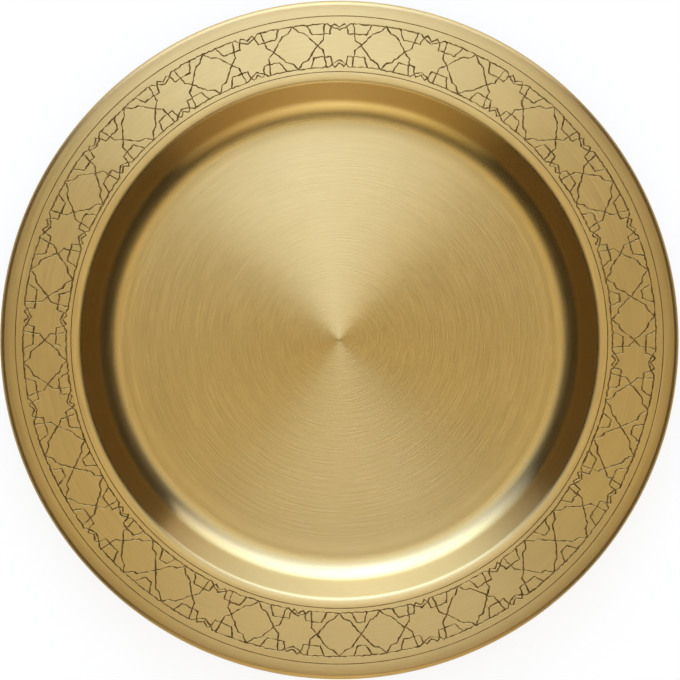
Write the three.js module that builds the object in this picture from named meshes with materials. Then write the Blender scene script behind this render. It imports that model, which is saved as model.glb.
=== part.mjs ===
// A round brass serving dish: a spun sheet with a wired edge, standing on a soldered foot ring.
// Millimetres, +Z up. The dish axis is Z and the foot stands on Z = 0.

import * as THREE from 'three';

// Dish sheet
const sheetThickness = 1.0;
const floorDiameter = 194; // flat floor inside the well
const wallRun = 19.5; // level distance from the edge of the floor to the edge of the rim
const rimWidth = 33.5; // from the well's mouth to the outermost edge
const wellDepth = 14; // from the top of the rim down to the floor
const coveRadius = 12.5; // hollow bend from floor to wall, on the inside of the well
const lipInsideRadius = 2.2; // bend from wall to rim, on the underside of the sheet

// Rolled edge
const wireDiameter = 2.4;
const wireClearance = 0.15; // between the wire and the sheet rolled round it
const curlSlit = 0.4; // left open between the sheet's free edge and the underside of the rim

// Foot
const footInset = 13; // from the edge of the flat floor in to the outside of the foot
const footWidth = 3;
const footRingHeight = 4.7;
const footChamfer = 0.6; // on the two edges that it stands on
const solderFilm = 0.3; // between the foot and the underside of the floor
const solderLeg = 1.4; // reach of the solder along the floor and down the foot

// Engraved circles, measured along the rim
const outerCircleInset = 6.8; // from the outermost edge
const bandOuterInset = 10.1; // from the outermost edge
const bandInnerInset = 4.2; // from the well's mouth
const innerCircleInset = 2.1; // from the well's mouth
const engravedWidth = 0.5;
const engravedDepth = 0.2;

// Facets
const roundFacets = 72;
const curlFacets = 10;
const coveFacets = 5;
const lipFacets = 3;
const wireFacets = 8;
const solderFacets = 2;

// Heights
const floorUnderside = footRingHeight + solderFilm;
const floorTop = floorUnderside + sheetThickness;
const rimTop = floorTop + wellDepth;

// Radii
const floorRadius = floorDiameter / 2;
const mouthRadius = floorRadius + wallRun;
const dishRadius = mouthRadius + rimWidth;
const curlInside = wireDiameter / 2 + wireClearance;
const curlOutside = curlInside + sheetThickness;
const curlCentreRadius = dishRadius - curlOutside;
const curlCentreHeight = rimTop - curlOutside;
const footOuterRadius = floorRadius - footInset;
const footInnerRadius = footOuterRadius - footWidth;

// Materials
const brass = { color: '#c8a565', metalness: 1 };
const satinBrass = new THREE.MeshStandardMaterial({ ...brass, roughness: 0.34 });
const turnedBrass = new THREE.MeshStandardMaterial({ ...brass, roughness: 0.3 });
const drawnWire = new THREE.MeshStandardMaterial({ color: '#8d8a84', roughness: 0.45, metalness: 1 });
const greySolder = new THREE.MeshStandardMaterial({ color: '#a9a69c', roughness: 0.5, metalness: 1 });

// Points on an arc of a profile. Angles are in degrees from the outward radial direction.
function arc(centreRadius, centreHeight, radius, fromAngle, toAngle, facets) {
  const points = [];
  for (let i = 0; i <= facets; i += 1) {
    const angle = THREE.MathUtils.degToRad(THREE.MathUtils.lerp(fromAngle, toAngle, i / facets));
    const across = centreRadius + radius * Math.cos(angle);
    const up = centreHeight + radius * Math.sin(angle);
    points.push(new THREE.Vector2(across, up));
  }
  return points;
}

// A solid turned about Z from a profile of (radius, height) points.
function turned(name, profile, material) {
  const geometry = new THREE.LatheGeometry(profile, roundFacets);
  geometry.rotateX(Math.PI / 2);
  const mesh = new THREE.Mesh(geometry, material);
  mesh.name = name;
  return mesh;
}

// A ring turned about Z: its profile closes on itself.
function turnedRing(name, profile, material) {
  return turned(name, [...profile, profile[0].clone()], material);
}

// The wall is the straight line that leaves the cove and meets the lip without a kink.
// Where the wall is too short for the cove, the cove is as large as still fits.
function wallShape() {
  const lip = lipInsideRadius + sheetThickness;
  const largestBends = (wallRun ** 2 + wellDepth ** 2) / (2 * wellDepth);
  const cove = Math.min(coveRadius, largestBends - lip);
  const bends = cove + lip;
  const drop = wellDepth - bends;
  const straight = Math.sqrt(Math.max(wallRun ** 2 + drop ** 2 - bends ** 2, 0));
  const slope = Math.atan2(drop, wallRun) + Math.atan2(bends, straight);
  return { cove, lip, slopeAngle: THREE.MathUtils.radToDeg(slope) };
}

// A V-shaped groove in the top of the rim, from its inner edge to its outer edge.
function engravedGroove(radius) {
  const half = engravedWidth / 2;
  return [
    new THREE.Vector2(radius - half, rimTop),
    new THREE.Vector2(radius, rimTop - engravedDepth),
    new THREE.Vector2(radius + half, rimTop),
  ];
}

function dishBody() {
  const { cove, lip, slopeAngle } = wallShape();
  const coveHeight = floorTop + cove;
  const lipHeight = rimTop - lip;
  const engravedRadii = [
    mouthRadius + innerCircleInset,
    mouthRadius + bandInnerInset,
    dishRadius - bandOuterInset,
    dishRadius - outerCircleInset,
  ];
  // The roll goes on past the inside of the bead until only the slit is left under the rim.
  const pastInside = THREE.MathUtils.radToDeg(Math.asin((curlInside - curlSlit) / curlOutside));
  const freeEdge = 90 - (270 + pastInside);
  const profile = [
    new THREE.Vector2(0, floorTop),
    ...arc(floorRadius, coveHeight, cove, -90, slopeAngle - 90, coveFacets),
    ...arc(mouthRadius, lipHeight, lip, 90 + slopeAngle, 90, lipFacets),
    ...engravedRadii.flatMap(engravedGroove),
    ...arc(curlCentreRadius, curlCentreHeight, curlOutside, 90, freeEdge, curlFacets),
    ...arc(curlCentreRadius, curlCentreHeight, curlInside, freeEdge, 90, curlFacets),
    ...arc(mouthRadius, lipHeight, lipInsideRadius, 90, 90 + slopeAngle, lipFacets),
    ...arc(floorRadius, coveHeight, cove + sheetThickness, slopeAngle - 90, -90, coveFacets),
    new THREE.Vector2(0, floorUnderside),
  ];
  return turned('dish_body', profile.reverse(), satinBrass);
}

function edgeWire() {
  const section = arc(curlCentreRadius, curlCentreHeight, wireDiameter / 2, 0, 360, wireFacets);
  return turnedRing('edge_wire', section.slice(0, wireFacets), drawnWire);
}

function footRing() {
  const section = [
    new THREE.Vector2(footInnerRadius + footChamfer, 0),
    new THREE.Vector2(footOuterRadius - footChamfer, 0),
    new THREE.Vector2(footOuterRadius, footChamfer),
    new THREE.Vector2(footOuterRadius, footRingHeight),
    new THREE.Vector2(footInnerRadius, footRingHeight),
    new THREE.Vector2(footInnerRadius, footChamfer),
  ];
  return turnedRing('foot_ring', section, turnedBrass);
}

// Solder fills the film over the foot and climbs into both corners as hollow fillets.
function footSolder() {
  const filletHeight = floorUnderside - solderLeg;
  const section = [
    ...arc(footInnerRadius - solderLeg, filletHeight, solderLeg, 90, 0, solderFacets),
    new THREE.Vector2(footInnerRadius, footRingHeight),
    new THREE.Vector2(footOuterRadius, footRingHeight),
    ...arc(footOuterRadius + solderLeg, filletHeight, solderLeg, 180, 90, solderFacets),
  ];
  return turnedRing('foot_solder', section, greySolder);
}

const dish = new THREE.Group();
dish.add(dishBody(), edgeWire(), footRing(), footSolder());

export default dish;
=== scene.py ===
import math

import bmesh
import bpy
from mathutils import Matrix, Vector, noise


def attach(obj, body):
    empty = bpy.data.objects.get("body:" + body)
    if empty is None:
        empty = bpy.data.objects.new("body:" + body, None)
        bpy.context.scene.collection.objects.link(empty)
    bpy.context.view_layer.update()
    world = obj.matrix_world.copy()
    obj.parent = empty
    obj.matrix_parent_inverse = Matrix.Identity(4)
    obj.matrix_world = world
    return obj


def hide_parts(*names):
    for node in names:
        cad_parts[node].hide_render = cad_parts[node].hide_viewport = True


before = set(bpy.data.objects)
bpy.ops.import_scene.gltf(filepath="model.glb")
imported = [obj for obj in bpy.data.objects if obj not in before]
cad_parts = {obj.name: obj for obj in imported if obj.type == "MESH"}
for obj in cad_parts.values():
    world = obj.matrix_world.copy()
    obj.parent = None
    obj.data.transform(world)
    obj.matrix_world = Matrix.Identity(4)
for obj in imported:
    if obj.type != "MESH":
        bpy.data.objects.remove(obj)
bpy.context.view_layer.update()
mm = 0.001
print("frame loaded:", ", ".join(sorted(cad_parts)))


def addNode(tree, kind, **settings):
    node = tree.nodes.new(kind)
    for name, value in settings.items():
        setattr(node, name, value)
    return node


def setInputs(node, **values):
    for name, value in values.items():
        node.inputs[name.replace("_", " ")].default_value = value


def feed(tree, socket, source):  # a source is a plain value or another node's socket
    if isinstance(source, bpy.types.NodeSocket):
        tree.links.new(source, socket)
    else:
        socket.default_value = source


def mathNode(tree, operation, *sources):
    node = addNode(tree, "ShaderNodeMath", operation=operation)
    for socket, source in zip(node.inputs, sources):
        feed(tree, socket, source)
    return node.outputs[0]


def vectorNode(tree, operation, *sources):
    node = addNode(tree, "ShaderNodeVectorMath", operation=operation)
    for socket, source in zip(node.inputs, sources):
        feed(tree, socket, source)
    return node.outputs["Value" if operation == "LENGTH" else "Vector"]


def scaleVector(tree, vector, factor):
    node = addNode(tree, "ShaderNodeVectorMath", operation="SCALE")
    feed(tree, node.inputs["Vector"], vector)
    feed(tree, node.inputs["Scale"], factor)
    return node.outputs["Vector"]


def stepBetween(tree, source, start, end, low=0.0, high=1.0):  # eased step of a value
    node = addNode(tree, "ShaderNodeMapRange", interpolation_type="SMOOTHSTEP")
    setInputs(node, From_Min=start, From_Max=end, To_Min=low, To_Max=high)
    tree.links.new(source, node.inputs["Value"])
    return node.outputs["Result"]


def mixColours(tree, factor, first, second):  # a colour is a socket or (red, green, blue)
    node = addNode(tree, "ShaderNodeMix", data_type="RGBA")
    feed(tree, node.inputs[0], factor)
    for socket, source in zip(node.inputs[6:8], (first, second)):  # its two colour sockets
        feed(tree, socket, (*source, 1) if isinstance(source, tuple) else source)
    return node.outputs[2]


def newGroup(name, inputs, outputs):
    tree = bpy.data.node_groups.new(name, "ShaderNodeTree")
    for label, kind, value in inputs:
        socket = tree.interface.new_socket(label, in_out="INPUT", socket_type=kind)
        if value is not None:
            socket.default_value = value
    for label, kind in outputs:
        tree.interface.new_socket(label, in_out="OUTPUT", socket_type=kind)
    return tree, addNode(tree, "NodeGroupInput"), addNode(tree, "NodeGroupOutput")


# fine rings left by the brush and the lathe, running round the axis
def makeLatheRings():
    tree, given, result = newGroup(
        "latheRings",
        [("Vector", "NodeSocketVector", None), ("Rings", "NodeSocketFloat", 900.0),
         ("Sweep", "NodeSocketFloat", 2.0)],
        [("Streak", "NodeSocketFloat"), ("Radius", "NodeSocketFloat"), ("Outward", "NodeSocketVector")],
    )
    flat = vectorNode(tree, "MULTIPLY", given.outputs["Vector"], (1, 1, 0))
    radius = vectorNode(tree, "LENGTH", flat)
    outward = vectorNode(tree, "NORMALIZE", flat)
    sweep = scaleVector(tree, outward, given.outputs["Sweep"])
    apart = addNode(tree, "ShaderNodeSeparateXYZ")
    tree.links.new(given.outputs["Vector"], apart.inputs[0])
    along = mathNode(tree, "ADD", radius, apart.outputs["Z"])
    lift = addNode(tree, "ShaderNodeCombineXYZ")
    tree.links.new(mathNode(tree, "MULTIPLY", along, given.outputs["Rings"]), lift.inputs["Z"])
    grain = addNode(tree, "ShaderNodeTexNoise")
    setInputs(grain, Scale=1.0, Detail=3.0, Roughness=0.6)
    tree.links.new(vectorNode(tree, "ADD", sweep, lift.outputs[0]), grain.inputs["Vector"])
    tree.links.new(grain.outputs["Fac"], result.inputs["Streak"])
    tree.links.new(radius, result.inputs["Radius"])
    tree.links.new(outward, result.inputs["Outward"])
    return tree


# faint clouds of handling and tarnish
def makeTarnish():
    tree, given, result = newGroup(
        "tarnish",
        [("Vector", "NodeSocketVector", None), ("Size", "NodeSocketFloat", 30.0)],
        [("Cloud", "NodeSocketFloat")],
    )
    broad = addNode(tree, "ShaderNodeTexNoise")
    setInputs(broad, Detail=4.0, Roughness=0.55)
    tree.links.new(given.outputs["Vector"], broad.inputs["Vector"])
    tree.links.new(given.outputs["Size"], broad.inputs["Scale"])
    tree.links.new(broad.outputs["Fac"], result.inputs["Cloud"])
    return tree


latheRings = makeLatheRings()
tarnish = makeTarnish()


def placeGroup(tree, group, vector, **values):
    node = addNode(tree, "ShaderNodeGroup", node_tree=group)
    tree.links.new(vector, node.inputs["Vector"])
    setInputs(node, **values)
    return node


def startMaterial(name):
    material = bpy.data.materials.new(name)
    material.use_nodes = True
    tree = material.node_tree
    shader = tree.nodes["Principled BSDF"]
    coords = addNode(tree, "ShaderNodeTexCoord")
    return material, tree, shader, coords.outputs["Object"]


# where the finish changes and where shade is painted, as steps of (start, end, from, to) by distance from
# the axis in metres
finishAndShadeZones = {
    "middle": [(0.0, 0.0800, 1, 0)],
    "floor": [(0.0850, 0.0975, 1, 0)],
    "corner": [(0.0920, 0.0960, 0, 1), (0.0975, 0.1010, 1, 0)],
    "bends": [(0.0945, 0.1010, 0, 1), (0.1130, 0.1160, 1, 0)],
    "wall": [(0.1045, 0.1085, 0, 1), (0.1130, 0.1155, 1, 0)],
    "rim": [(0.1190, 0.1230, 0, 1)],
    "edge": [(0.1440, 0.1495, 0, 1)],
}


def zoneMask(tree, radius, zone, amount=1.0):
    mask = amount
    for step in finishAndShadeZones[zone]:
        mask = mathNode(tree, "MULTIPLY", stepBetween(tree, radius, *step), mask)
    return mask


brushing = {
    "fineRings": 5, "fineSweep": 4,  # a second, finer set of rings over the first
    "cloudSpan": (0.3, 0.75), "streakSpan": (0.75, 1.25), "roughSpan": (0.7, 1.3), "roughChange": 0.03,
    "ridge": 0.0002, "turn": 0.25,
    "grazing": (0.78, 0.68, 0.42),  # brass keeps its colour where it is seen nearly edge on
}


# brass worked on a lathe: brushed in rings, with a highlight that spreads across them
def makeTurnedBrass(name, look):
    material, tree, shader, place = startMaterial(name)
    rings = placeGroup(tree, latheRings, place, Rings=look["rings"], Sweep=look["sweep"])
    fine = placeGroup(
        tree, latheRings, place,
        Rings=look["rings"] * brushing["fineRings"], Sweep=look["sweep"] * brushing["fineSweep"],
    )
    clouds = placeGroup(tree, tarnish, place, Size=look["cloudSize"])
    streak = mathNode(tree, "ADD", rings.outputs["Streak"], fine.outputs["Streak"])
    radius = rings.outputs["Radius"]

    dulled = stepBetween(tree, clouds.outputs["Cloud"], *brushing["cloudSpan"], 0.0, look["clouding"])
    tone = mixColours(tree, dulled, look["colour"], look["dullColour"])
    streaked = stepBetween(tree, streak, *brushing["streakSpan"], 0.0, look["streaking"])
    tone = mixColours(tree, streaked, tone, look["dullColour"])
    # the corner, wall and edge tints darken the brass as painted shade
    for zone, colour, amount in look["tintsAndShade"]:
        tone = mixColours(tree, zoneMask(tree, radius, zone, amount), tone, colour)
    tree.links.new(tone, shader.inputs["Base Color"])

    polish = zoneMask(tree, radius, "bends", look["polished"] - look["satin"])
    satin = mathNode(tree, "ADD", polish, look["satin"])
    change = brushing["roughChange"]
    uneven = stepBetween(tree, streak, *brushing["roughSpan"], -change, change)
    tree.links.new(mathNode(tree, "ADD", satin, uneven), shader.inputs["Roughness"])

    onRim = zoneMask(tree, radius, "rim", look["rimShare"])
    level = mathNode(tree, "ADD", zoneMask(tree, radius, "floor"), onRim)
    bump = addNode(tree, "ShaderNodeBump")
    setInputs(bump, Strength=look["bump"], Distance=brushing["ridge"])
    tree.links.new(mathNode(tree, "MULTIPLY", rings.outputs["Streak"], level), bump.inputs["Height"])
    leaning = mathNode(tree, "MULTIPLY", level, look["lean"])  # ridges of the brush lean outwards
    lean = scaleVector(tree, rings.outputs["Outward"], leaning)
    facing = vectorNode(tree, "NORMALIZE", vectorNode(tree, "ADD", bump.outputs["Normal"], lean))
    tree.links.new(facing, shader.inputs["Normal"])

    tangent = addNode(tree, "ShaderNodeTangent", direction_type="RADIAL", axis="Z")
    tree.links.new(tangent.outputs["Tangent"], shader.inputs["Tangent"])
    setInputs(
        shader, Metallic=1.0, Anisotropic=look["spread"], Anisotropic_Rotation=brushing["turn"],
        Specular_Tint=(*brushing["grazing"], 1),
    )
    return material


# plain metal with clouds of a duller tone
def makeCloudedMetal(name, look):
    material, tree, shader, place = startMaterial(name)
    clouds = placeGroup(tree, tarnish, place, Size=look["cloudSize"])
    cloud = clouds.outputs["Cloud"]
    dulled = stepBetween(tree, cloud, *look["cloudSpan"], 0.0, look["clouding"])
    tone = mixColours(tree, dulled, look["colour"], look["dullColour"])
    tree.links.new(tone, shader.inputs["Base Color"])
    if look["bump"]:
        bump = addNode(tree, "ShaderNodeBump")
        setInputs(bump, Strength=look["bump"], Distance=brushing["ridge"])
        tree.links.new(cloud, bump.inputs["Height"])
        tree.links.new(bump.outputs["Normal"], shader.inputs["Normal"])
    setInputs(shader, Metallic=look["metal"], Roughness=look["rough"])
    return material


# tints are (zone, colour, amount), laid over each other in this order; the corner, wall and edge tints are
# painted shade
topLook = {
    "colour": (0.71, 0.53, 0.245), "dullColour": (0.60, 0.43, 0.18),
    "tintsAndShade": [
        ("middle", (0.60, 0.43, 0.18), 0.7),
        ("corner", (0.55, 0.40, 0.17), 0.8),  # painted shade in the corner at the foot of the wall
        # painted shade: the wall down into the well is darkened
        ("wall", (0.52, 0.355, 0.155), 0.6),
        # painted shade: the rolled edge is darkened where it turns down
        ("edge", (0.54, 0.33, 0.12), 0.55),
    ],
    "rings": 1500.0, "sweep": 3.0, "cloudSize": 26.0, "clouding": 0.35, "streaking": 0.3,
    "satin": 0.32, "polished": 0.22, "bump": 0.4, "lean": 0.065, "rimShare": 0.5, "spread": 0.95,
}
backLook = {
    "colour": (0.60, 0.42, 0.16), "dullColour": (0.42, 0.28, 0.10),
    # painted shade: the rolled edge underneath is darkened
    "tintsAndShade": [("edge", (0.42, 0.26, 0.09), 0.6)],
    "rings": 350.0, "sweep": 1.2, "cloudSize": 40.0, "clouding": 0.8, "streaking": 0.5,
    "satin": 0.40, "polished": 0.34, "bump": 0.12, "lean": 0.0, "rimShare": 1.0, "spread": 0.8,
}
footLook = {
    "colour": (0.62, 0.44, 0.18), "dullColour": (0.46, 0.31, 0.11),
    "tintsAndShade": [],
    "rings": 1500.0, "sweep": 1.0, "cloudSize": 60.0, "clouding": 0.7, "streaking": 0.5,
    "satin": 0.36, "polished": 0.36, "bump": 0.1, "lean": 0.0, "rimShare": 1.0, "spread": 0.8,
}

# engraved lines have bright walls, and brown tarnish along the bottom
cutLook = {
    "colour": (0.52, 0.37, 0.145), "dullColour": (0.36, 0.24, 0.085),
    "cloudSize": 240.0, "cloudSpan": (0.35, 0.65), "clouding": 1.0,
    "metal": 1.0, "rough": 0.36, "bump": 0.0,
}
patinaLook = {
    "colour": (0.26, 0.145, 0.042), "dullColour": (0.125, 0.066, 0.017),
    "cloudSize": 240.0, "cloudSpan": (0.35, 0.65), "clouding": 1.0,
    "metal": 0.85, "rough": 0.56, "bump": 0.0,
}

topBrass = makeTurnedBrass("satinBrass", topLook)
backBrass = makeTurnedBrass("backBrass", backLook)
footBrass = makeTurnedBrass("footBrass", footLook)
cutBrass = makeCloudedMetal("cutBrass", cutLook)
cutPatina = makeCloudedMetal("cutPatina", patinaLook)
print("brass materials made")


def arcPoints(across, up, radius, fromAngle, toAngle, steps):  # degrees from the outward direction
    points = []
    for i in range(steps + 1):
        angle = math.radians(fromAngle + (toAngle - fromAngle) * i / steps)
        points.append((across + radius * math.cos(angle), up + radius * math.sin(angle)))
    return points


def spinProfile(bm, points, segments, materialIndex=0):  # points are (radius, height) in mm
    part = bmesh.new()  # on its own, because a spin slows down in a full mesh
    verts = [part.verts.new((0, radius * mm, height * mm)) for radius, height in points]
    edges = [part.edges.new(pair) for pair in zip(verts, verts[1:])]
    bmesh.ops.spin(
        part, geom=verts + edges, cent=(0, 0, 0), axis=(0, 0, 1), dvec=(0, 0, 0),
        angle=math.tau, steps=segments, use_merge=True, use_duplicate=False,
    )
    for face in part.faces:
        face.material_index = materialIndex
    turned = bpy.data.meshes.new("turned")
    part.to_mesh(turned)
    part.free()
    bm.from_mesh(turned)
    bpy.data.meshes.remove(turned)


def finishPiece(name, bm, node, materials, sharpAngle):
    bmesh.ops.remove_doubles(bm, verts=bm.verts, dist=1e-6)
    bmesh.ops.recalc_face_normals(bm, faces=bm.faces)
    for face in bm.faces:
        face.smooth = True
    for edge in bm.edges:
        edge.smooth = edge.calc_face_angle(0) < math.radians(sharpAngle)
    mesh = bpy.data.meshes.new(name)
    bm.to_mesh(mesh)
    bm.free()
    for material in materials:
        mesh.materials.append(material)
    piece = bpy.data.objects.new(name, mesh)
    bpy.context.scene.collection.objects.link(piece)
    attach(piece, "root")
    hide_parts(node)
    print(name, "has", len(mesh.polygons), "faces")


# sizes in mm, angles in degrees, steps as counts
dish = {
    "sheet": 1.0, "floorRadius": 95.5, "floorTop": 6.0, "mouthRadius": 115.5, "rimTop": 20.0,
    "dishRadius": 150.0, "cove": 15.3, "lipInside": 1.2, "lipFall": 0.3, "lipReach": 3.0, "lipEnd": 0.1,
    "curlInside": 1.35, "curlSlit": 0.4, "edgeFall": 0.14, "beadAngle": 86,
    "innerCircle": 118.6, "outerCircle": 143.2,
    "circleHalf": 0.20, "circleBottom": 0.11, "circleDepth": 0.10,
    "floorRings": (0, 1, 6, 30, 65, 92), "underRings": (70, 30, 1, 0),
    "segments": 336, "coveSteps": 16, "lipSteps": 8, "rimSteps": 6, "droopSteps": 6, "beadSteps": 17,
    "curlSteps": 26, "curlInsideSteps": 18, "lipUnderSteps": 7, "coveUnderSteps": 14, "sharpAngle": 22,
}
dishMaterials = [topBrass, cutBrass, backBrass, cutPatina]
cutWall, underside, cutBottom = 1, 2, 3  # places in that list

# the engraved band: stars and lozenges in 42 equal places, the first at +Y, clockwise from above
band = {
    "order": "SLSLSLSLSLLSLLSLLSLSLLSLSLLSLLSLSLSLSLSLSL",
    "inner": 120.7, "outer": 139.9, "innerEdge": 119.4, "outerEdge": 142.2,
    "sideStops": (0, 0.237, 0.5, 0.763, 1),  # heights at which motifs meet their neighbours
    "lineHalf": 0.32, "lineWall": 0.13, "lineDepth": 0.11, "longestStep": 0.7,
    "wobble": 0.50, "wobbleScale": 720, "wander": 0.30, "wanderScale": 90, "wanderShift": (3, 1, 2),
    "seed": 7,
}

# one quarter of each motif, across the place (0 to 0.5) and up the band (0.5 to 1)
motifLines = {
    "L": [
        [(0.5, 0.5), (0.25, 0.808), (0.125, 0.85), (0, 1)],
        [(0.5, 0.763), (0.41, 0.763), (0.305, 1)],
        [(0.5, 1), (0.305, 1), (0, 1)],
    ],
    "S": [
        [(0.5, 0.5), (0.36, 0.622), (0.345, 0.763), (0.21, 0.763), (0.17, 0.93), (0, 0.845)],
        [(0.5, 0.763), (0.345, 0.763), (0.312, 1)],
        [(0.17, 0.93), (0.245, 1)],
        [(0.17, 0.93), (0.11, 0.995), (0, 0.905)],
        [(0.5, 1), (0.312, 1), (0.245, 1)],
    ],
}


def engraveBand(bm):
    places = len(band["order"])
    steps = dish["segments"] // places
    height = band["outer"] - band["inner"]
    lowest = (band["innerEdge"] - band["inner"]) / height
    highest = (band["outerEdge"] - band["inner"]) / height
    sideStops = [lowest, *band["sideStops"], highest]
    digits = 5  # corners that agree to this many digits are one corner
    made = {}

    def corner(place, across, up):
        key = (round((place + across) % places, digits) % places, round(up, digits))
        if key not in made:
            angle = math.tau * (place + across) / places
            radius = (band["inner"] + height * up) * mm
            spot = (radius * math.sin(angle), radius * math.cos(angle), dish["rimTop"] * mm)
            made[key] = bm.verts.new(spot)
        return made[key]

    def edgeBetween(first, second):
        return bm.edges.get((first, second)) or bm.edges.new((first, second))

    cells = []
    for place in range(places):
        left = [corner(place, -0.5, up) for up in sideStops]
        top = [corner(place, i / steps - 0.5, highest) for i in range(1, steps)]
        right = [corner(place, 0.5, up) for up in reversed(sideStops)]
        bottom = [corner(place, i / steps - 0.5, lowest) for i in range(steps - 1, 0, -1)]
        cells.append(bm.faces.new(list(reversed(left + top + right + bottom))))
    bm.normal_update()
    lines = []
    for place, motif in enumerate(band["order"]):
        cellLines = []
        for line in motifLines[motif]:
            for flipAcross in (1, -1):
                for flipUp in (False, True):
                    points = [
                        corner(place, across * flipAcross, 1 - up if flipUp else up) for across, up in line
                    ]
                    cellLines += [edgeBetween(*pair) for pair in zip(points, points[1:])]
        cellLines = list(dict.fromkeys(cellLines))  # mirrored quarters can share an edge
        bmesh.utils.face_split_edgenet(cells[place], cellLines)
        lines += cellLines
    joins = []
    for place in range(places):
        side = [corner(place, 0.5, up) for up in band["sideStops"]]
        joins += [edgeBetween(*pair) for pair in zip(side, side[1:])]
    bmesh.ops.dissolve_edges(bm, edges=joins, use_verts=False)
    cut = bmesh.ops.bevel(
        bm, geom=lines, offset=band["lineHalf"] * mm, offset_type="OFFSET", segments=1,
        profile=0.5, affect="EDGES", material=-1, clamp_overlap=True,
    )
    strips = cut["faces"]
    byCuts = {}
    for edge in dict.fromkeys(edge for face in strips for edge in face.edges):
        cuts = int(edge.calc_length() / (band["longestStep"] * mm))
        byCuts.setdefault(cuts, []).append(edge)
    for cuts in sorted(count for count in byCuts if count):
        bmesh.ops.bisect_edges(bm, edges=byCuts[cuts], cuts=cuts)
    shift = Vector(band["wanderShift"])
    noise.seed_set(band["seed"])  # so that each run draws the same lines
    for vert in dict.fromkeys(vert for face in strips for vert in face.verts):  # hand-cut lines wander
        close = noise.noise_vector(vert.co * band["wobbleScale"]) * band["wobble"]
        wide = noise.noise_vector(vert.co * band["wanderScale"] + shift) * band["wander"]
        vert.co += Vector((close.x + wide.x, close.y + wide.y, 0)) * mm
    walls = bmesh.ops.inset_region(
        bm, faces=strips, thickness=band["lineWall"] * mm, depth=-band["lineDepth"] * mm,
        use_even_offset=True, use_boundary=True,
    )
    for face in walls["faces"]:
        face.material_index = cutWall
    for face in strips:
        face.material_index = cutBottom


def wallBends():  # the wall leaves the cove and meets the lip without a kink
    lip = dish["lipInside"] + dish["sheet"]
    run = dish["mouthRadius"] - dish["floorRadius"]
    drop = dish["rimTop"] - dish["lipFall"] - dish["floorTop"] - dish["cove"] - lip
    straight = math.sqrt(run**2 + drop**2 - (dish["cove"] + lip) ** 2)
    return lip, math.degrees(math.atan2(drop, run) + math.atan2(dish["cove"] + lip, straight))


def makeDish():
    bm = bmesh.new()
    engraveBand(bm)
    bmesh.ops.recalc_face_normals(bm, faces=bm.faces)
    lip, slope = wallBends()
    top = dish["rimTop"]
    floorTop = dish["floorTop"]
    floorUnder = floorTop - dish["sheet"]
    floorEdge = dish["floorRadius"]
    mouth = dish["mouthRadius"]
    cove = dish["cove"]
    lipUp = top - dish["lipFall"] - lip
    curlOutside = dish["curlInside"] + dish["sheet"]
    curlAcross = dish["dishRadius"] - curlOutside
    curlUp = top - curlOutside
    freeEdge = -180 - math.degrees(math.asin((dish["curlInside"] - dish["curlSlit"]) / curlOutside))

    def circleLine(radius):
        half, bottom, low = dish["circleHalf"], dish["circleBottom"], top - dish["circleDepth"]
        return [(radius - half, top), (radius - bottom, low), (radius + bottom, low), (radius + half, top)]

    def spinCircle(line):
        spinProfile(bm, line[:2], dish["segments"], cutWall)
        spinProfile(bm, line[1:3], dish["segments"], cutBottom)
        spinProfile(bm, line[2:], dish["segments"], cutWall)

    inner = circleLine(dish["innerCircle"])
    outer = circleLine(dish["outerCircle"])
    well = [(ring, floorTop) for ring in dish["floorRings"]]
    well += arcPoints(floorEdge, floorTop + cove, cove, -90, slope - 90, dish["coveSteps"])
    gentle = math.degrees(2 * math.atan(dish["lipFall"] / dish["lipReach"]))  # the rim bends into the lip
    sweep = dish["lipReach"] / math.sin(math.radians(gentle))
    rimStart = mouth + dish["lipReach"] - lip * dish["lipFall"] / dish["lipReach"] * 2
    well += arcPoints(mouth, lipUp, lip, 90 + slope, 90 + gentle, dish["lipSteps"])[:-1]
    well += arcPoints(rimStart, top - sweep, sweep, 90 + gentle, 90, dish["rimSteps"])
    well += [(rimStart + dish["lipEnd"], top), inner[0]]

    edge = [outer[-1]]
    rimEnd = outer[-1][0]
    for i in range(dish["droopSteps"]):  # the rim droops a little towards the bead
        share = (i + 1) / dish["droopSteps"]
        edge.append((rimEnd + (curlAcross - rimEnd) * share, top - dish["edgeFall"] * share**2))
    for across, up in arcPoints(0, 0, 1, dish["beadAngle"], 0, dish["beadSteps"]):
        edge.append((curlAcross + curlOutside * across, curlUp + (curlOutside - dish["edgeFall"]) * up))
    edge += arcPoints(curlAcross, curlUp, curlOutside, 0, freeEdge, dish["curlSteps"])[1:]

    under = [edge[-1]]
    under += arcPoints(curlAcross, curlUp, dish["curlInside"], freeEdge, 90, dish["curlInsideSteps"])
    under += arcPoints(mouth, lipUp, dish["lipInside"], 90, 90 + slope, dish["lipUnderSteps"])
    coveUnder = cove + dish["sheet"]
    under += arcPoints(floorEdge, floorTop + cove, coveUnder, slope - 90, -90, dish["coveUnderSteps"])
    under += [(ring, floorUnder) for ring in dish["underRings"]]

    spinProfile(bm, well, dish["segments"])
    spinCircle(inner)
    spinProfile(bm, [inner[-1], (band["innerEdge"], top)], dish["segments"])
    spinProfile(bm, [(band["outerEdge"], top), outer[0]], dish["segments"])
    spinCircle(outer)
    spinProfile(bm, edge, dish["segments"])
    spinProfile(bm, under, dish["segments"], underside)
    finishPiece("dishShell", bm, "dish_body", dishMaterials, dish["sharpAngle"])


wire = {
    "across": 147.65, "up": 17.65, "radius": 1.2, "around": 20, "segments": 168, "sharpAngle": 40,
    "look": {
        "colour": (0.42, 0.40, 0.37), "dullColour": (0.20, 0.13, 0.08),
        "cloudSize": 300.0, "cloudSpan": (0.45, 0.75), "clouding": 0.7,
        "metal": 1.0, "rough": 0.45, "bump": 0.0,
    },
}


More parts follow.
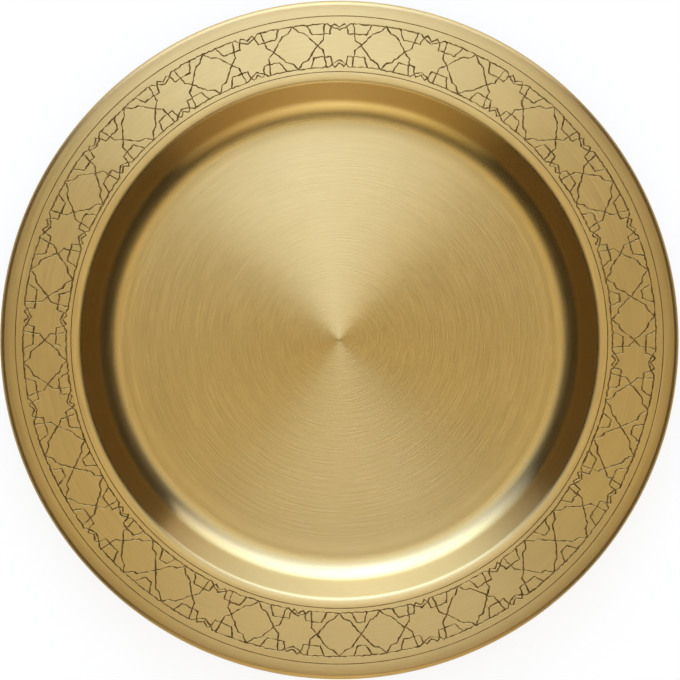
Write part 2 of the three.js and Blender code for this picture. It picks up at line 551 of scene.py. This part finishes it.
def makeWire():
    material = makeCloudedMetal("drawnWire", wire["look"])
    bm = bmesh.new()
    section = arcPoints(wire["across"], wire["up"], wire["radius"], 0, 360, wire["around"])
    spinProfile(bm, section, wire["segments"])
    finishPiece("edgeWire", bm, "edge_wire", [material], wire["sharpAngle"])


foot = {
    "inner": 81.0, "outer": 84.0, "height": 4.7, "chamfer": 0.6, "segments": 240, "sharpAngle": 30,
}


def makeFoot():
    bm = bmesh.new()
    inner, outer, chamfer, height = foot["inner"], foot["outer"], foot["chamfer"], foot["height"]
    section = [(inner + chamfer, 0), (outer - chamfer, 0), (outer, chamfer), (outer, height)]
    section += [(inner, height), (inner, chamfer), (inner + chamfer, 0)]
    spinProfile(bm, section, foot["segments"])
    finishPiece("footRing", bm, "foot_ring", [footBrass], foot["sharpAngle"])


solder = {
    "leg": 1.4, "filletSteps": 6, "segments": 240, "sharpAngle": 40,
    "look": {
        "colour": (0.5, 0.48, 0.43), "dullColour": (0.30, 0.29, 0.27),
        "cloudSize": 220.0, "cloudSpan": (0.35, 0.7), "clouding": 1.0,
        "metal": 1.0, "rough": 0.5, "bump": 0.3,
    },
}


def makeSolder():
    material = makeCloudedMetal("greySolder", solder["look"])
    bm = bmesh.new()
    leg, steps = solder["leg"], solder["filletSteps"]
    filletUp = dish["floorTop"] - dish["sheet"] - leg
    section = arcPoints(foot["inner"] - leg, filletUp, leg, 90, 0, steps)
    section += [(foot["inner"], foot["height"]), (foot["outer"], foot["height"])]
    section += arcPoints(foot["outer"] + leg, filletUp, leg, 180, 90, steps)
    spinProfile(bm, section + section[:1], solder["segments"])
    finishPiece("footSolder", bm, "foot_solder", [material], solder["sharpAngle"])


makeDish()
makeWire()
makeFoot()
makeSolder()


studio = {
    "floorSize": 45.0, "floorColour": (0.9, 0.9, 0.89), "floorGlow": 0.85, "room": (0.032, 0.023, 0.014),
}

# soft light panels: rows of (distance, height, half width, light), and shares of it from left to right
panels = {
    "backPanel": {
        "bearing": -6, "onMetal": True,  # bearings are clockwise from +Y
        "rows": [
            (1.25, 0.06, 1.45, (2.20, 3.00, 4.30)),
            (1.25, 0.34, 1.45, (2.65, 3.60, 4.90)),
            (1.25, 0.72, 1.45, (3.00, 3.70, 4.90)),
            (1.15, 1.04, 1.45, (2.55, 3.30, 5.40)),
            (0.98, 1.25, 1.25, (2.25, 2.75, 4.70)),
            (0.75, 1.41, 0.75, (0.0, 0.0, 0.0)),
        ],
        "across": [(0, 0, 0), (0.34, 0.31, 0.28), (0.83, 0.84, 0.81), (1, 1, 1), (0.78, 0.79, 0.77),
                   (0.60, 0.54, 0.46), (0.32, 0.25, 0.18)],
    },
    "topPanel": {
        "bearing": -8, "onMetal": True,
        "rows": [
            (0.42, 0.80, 0.36, (0.0, 0.0, 0.0)),
            (0.30, 0.80, 0.36, (1.60, 1.95, 2.30)),
            (0.18, 0.80, 0.36, (1.40, 1.65, 1.80)),
            (0.07, 0.80, 0.36, (1.55, 1.45, 1.15)),
            (-0.03, 0.80, 0.36, (1.60, 1.35, 0.85)),
            (-0.12, 0.80, 0.36, (1.60, 1.30, 0.60)),
            (-0.22, 0.80, 0.36, (0.0, 0.0, 0.0)),
        ],
        "across": [(0, 0, 0), (0.82, 0.82, 0.85), (1, 1, 1), (0.82, 0.82, 0.85), (0, 0, 0)],
    },
    "frontPanel": {
        "bearing": 178, "onMetal": True,
        "rows": [
            (1.15, 0.07, 1.10, (0.35, 0.25, 0.10)),
            (1.15, 0.22, 1.10, (1.35, 1.22, 0.86)),
            (1.15, 0.42, 1.10, (1.70, 1.70, 1.38)),
            (1.10, 0.70, 1.05, (1.38, 1.28, 0.92)),
            (1.05, 0.98, 1.00, (0.95, 0.75, 0.35)),
            (1.00, 1.30, 0.95, (0.0, 0.0, 0.0)),
        ],
        "across": [(0, 0, 0), (0.55, 0.47, 0.38), (1, 1, 1), (0.65, 0.60, 0.45), (0, 0, 0)],
    },
    "paperLight": {  # lights only the paper, which is white up to the dish's shadow
        "bearing": 0, "onMetal": False,
        "rows": [(3.0, 2.5, 3.0, (1.7, 1.7, 1.7)), (-3.0, 2.5, 3.0, (1.7, 1.7, 1.7))],
        "across": [(1, 1, 1), (1, 1, 1)],
    },
}


def lightRamp(tree, source, lights):
    ramp = addNode(tree, "ShaderNodeValToRGB")
    stops = ramp.color_ramp.elements
    while len(stops) < len(lights):
        stops.new(0.5)
    for i in range(len(lights)):
        stops[i].position = i / (len(lights) - 1)
    for stop, light in zip(stops, lights):
        stop.color = (*light, 1)
    tree.links.new(source, ramp.inputs["Fac"])
    return ramp.outputs["Color"]


def bareMaterial(name):
    material = bpy.data.materials.new(name)
    material.use_nodes = True
    tree = material.node_tree
    tree.nodes.remove(tree.nodes["Principled BSDF"])
    return material, tree, tree.nodes["Material Output"].inputs["Surface"]


def lightMaterial(name, panel):
    material, tree, surface = bareMaterial(name)
    coords = addNode(tree, "ShaderNodeTexCoord")
    apart = addNode(tree, "ShaderNodeSeparateXYZ")
    tree.links.new(coords.outputs["UV"], apart.inputs[0])
    upward = lightRamp(tree, apart.outputs["Y"], [row[3] for row in panel["rows"]])
    sideways = lightRamp(tree, apart.outputs["X"], panel["across"])
    light = addNode(tree, "ShaderNodeEmission")
    tree.links.new(vectorNode(tree, "MULTIPLY", upward, sideways), light.inputs["Color"])
    tree.links.new(light.outputs[0], surface)
    return material


def addStudioObject(name, bm, material):
    mesh = bpy.data.meshes.new(name)
    bm.to_mesh(mesh)
    bm.free()
    mesh.materials.append(material)
    thing = bpy.data.objects.new(name, mesh)
    bpy.context.scene.collection.objects.link(thing)
    return thing


def addPanel(name, panel):
    turn = Matrix.Rotation(math.radians(-panel["bearing"]), 3, "Z")
    sides = (-1, 0, 1)
    bm = bmesh.new()
    uv = bm.loops.layers.uv.verify()
    place = {}
    rowEdges = []
    for i, (far, up, half, _) in enumerate(panel["rows"]):
        verts = [bm.verts.new(turn @ Vector((side * half, far, up))) for side in sides]
        for vert, side in zip(verts, sides):
            place[vert] = ((side + 1) / 2, i / (len(panel["rows"]) - 1))
        rowEdges.append([bm.edges.new(verts[:2]), bm.edges.new(verts[1:])])
    for lower, upper in zip(rowEdges, rowEdges[1:]):
        bmesh.ops.bridge_loops(bm, edges=lower + upper)
    for face in bm.faces:
        for loop in face.loops:
            loop[uv].uv = place[loop.vert]
    thing = addStudioObject(name, bm, lightMaterial(name, panel))
    thing.visible_camera = False
    thing.visible_glossy = panel["onMetal"]


def makePaper():  # white paper that takes the dish's shadow
    material, tree, surface = bareMaterial("paperFloor")
    paper = addNode(tree, "ShaderNodeBsdfDiffuse")
    paper.inputs["Color"].default_value = (*studio["floorColour"], 1)
    white = addNode(tree, "ShaderNodeEmission")
    path = addNode(tree, "ShaderNodeLightPath")
    seen = mathNode(tree, "MAXIMUM", path.outputs["Is Camera Ray"], path.outputs["Is Glossy Ray"])
    seen = mathNode(tree, "MAXIMUM", seen, path.outputs["Is Transmission Ray"])
    blend = addNode(tree, "ShaderNodeMixShader")
    tree.links.new(mathNode(tree, "MULTIPLY", seen, studio["floorGlow"]), blend.inputs[0])
    tree.links.new(paper.outputs[0], blend.inputs[1])
    tree.links.new(white.outputs[0], blend.inputs[2])
    tree.links.new(blend.outputs[0], surface)
    bm = bmesh.new()
    bmesh.ops.create_grid(bm, x_segments=1, y_segments=1, size=studio["floorSize"] / 2)
    floor = addStudioObject("paperFloor", bm, material)


def makeStudio():
    for name, panel in panels.items():
        addPanel(name, panel)
    makePaper()
    world = bpy.data.worlds.new("room")
    bpy.context.scene.world = world
    world.use_nodes = True
    world.node_tree.nodes["Background"].inputs["Color"].default_value = (*studio["room"], 1)


makeStudio()
print("studio set")


# a long lens straight above, so that the dish fills the picture as far as it does in the photo
lens = {
    "focal": 500.0, "radius": 0.15, "radiusPixels": 339.3, "halfPicture": 340,
    "height": 0.01765, "across": 0.00029,
}


def makeCamera():
    data = bpy.data.cameras.new("topCamera")
    data.lens = lens["focal"]
    camera = bpy.data.objects.new("topCamera", data)
    bpy.context.scene.collection.objects.link(camera)
    halfView = data.sensor_width / 2 / data.lens
    distance = lens["radius"] * lens["halfPicture"] / lens["radiusPixels"] / halfView
    camera.location = (lens["across"], 0, lens["height"] + distance)
    bpy.context.scene.camera = camera


makeCamera()
bpy.context.scene.view_settings.view_transform = "Standard"
print("camera placed")
